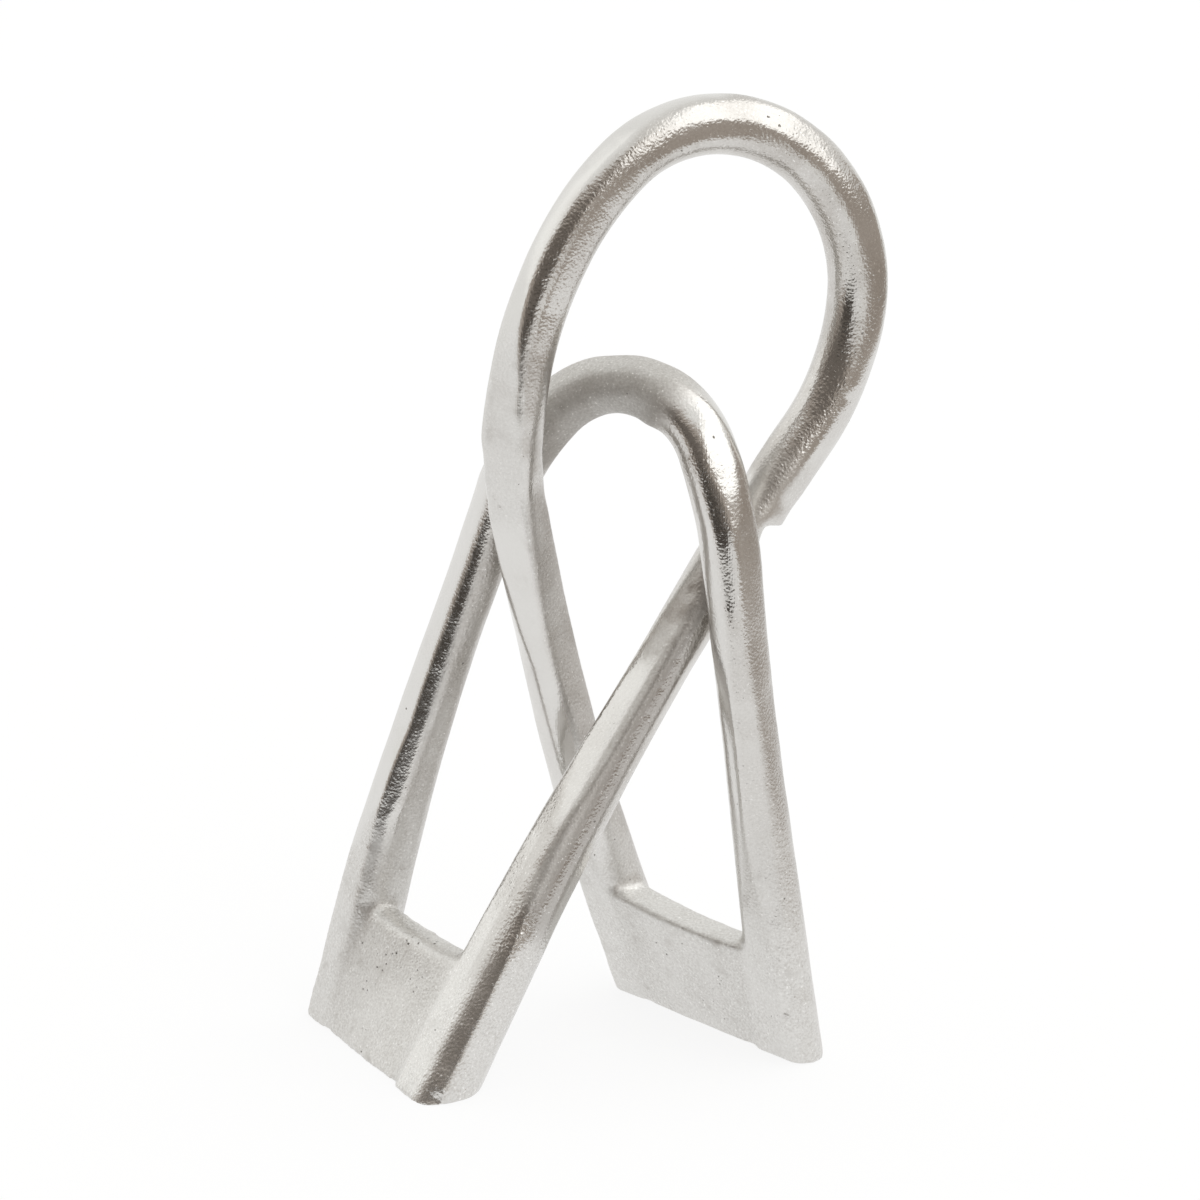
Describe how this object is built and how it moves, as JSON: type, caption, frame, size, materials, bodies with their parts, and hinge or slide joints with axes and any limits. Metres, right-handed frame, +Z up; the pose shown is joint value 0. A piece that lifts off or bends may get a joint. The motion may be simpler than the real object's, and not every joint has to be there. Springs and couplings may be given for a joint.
{
  "type": "knot sculpture",
  "caption": "Tabletop sculpture of a round cast-metal bar tied in a trefoil knot, with a tall open loop, a low arch and splayed legs joined in pairs by flat web feet.",
  "frame": {"origin": "on the floor, under the middle of the object's box", "axes": "+Z up, +X to the right and -Y to the front as the picture sees it"},
  "size_m": [0.1798, 0.0997, 0.3005],
  "materials": {
    "cast_bar": "polished cast with fine grain and pits",
    "web_plate": "satin cast with small pits",
    "weld_metal": "dressed weld with grinding marks"
  },
  "bodies": {
    "root": {"left_rear_leg": "cast_bar", "arch_leg": "cast_bar", "left_front_leg": "cast_bar", "right_rear_leg": "cast_bar", "large_loop": "cast_bar", "left_web_plate": "web_plate", "right_web_plate": "web_plate", "arch_butt_weld": "weld_metal", "loop_start_butt_weld": "weld_metal", "loop_end_butt_weld": "weld_metal", "left_web_rear_seam": "weld_metal", "left_web_front_seam": "weld_metal", "right_web_rear_seam": "weld_metal", "right_web_front_seam": "weld_metal"}
  },
  "joints": []
}
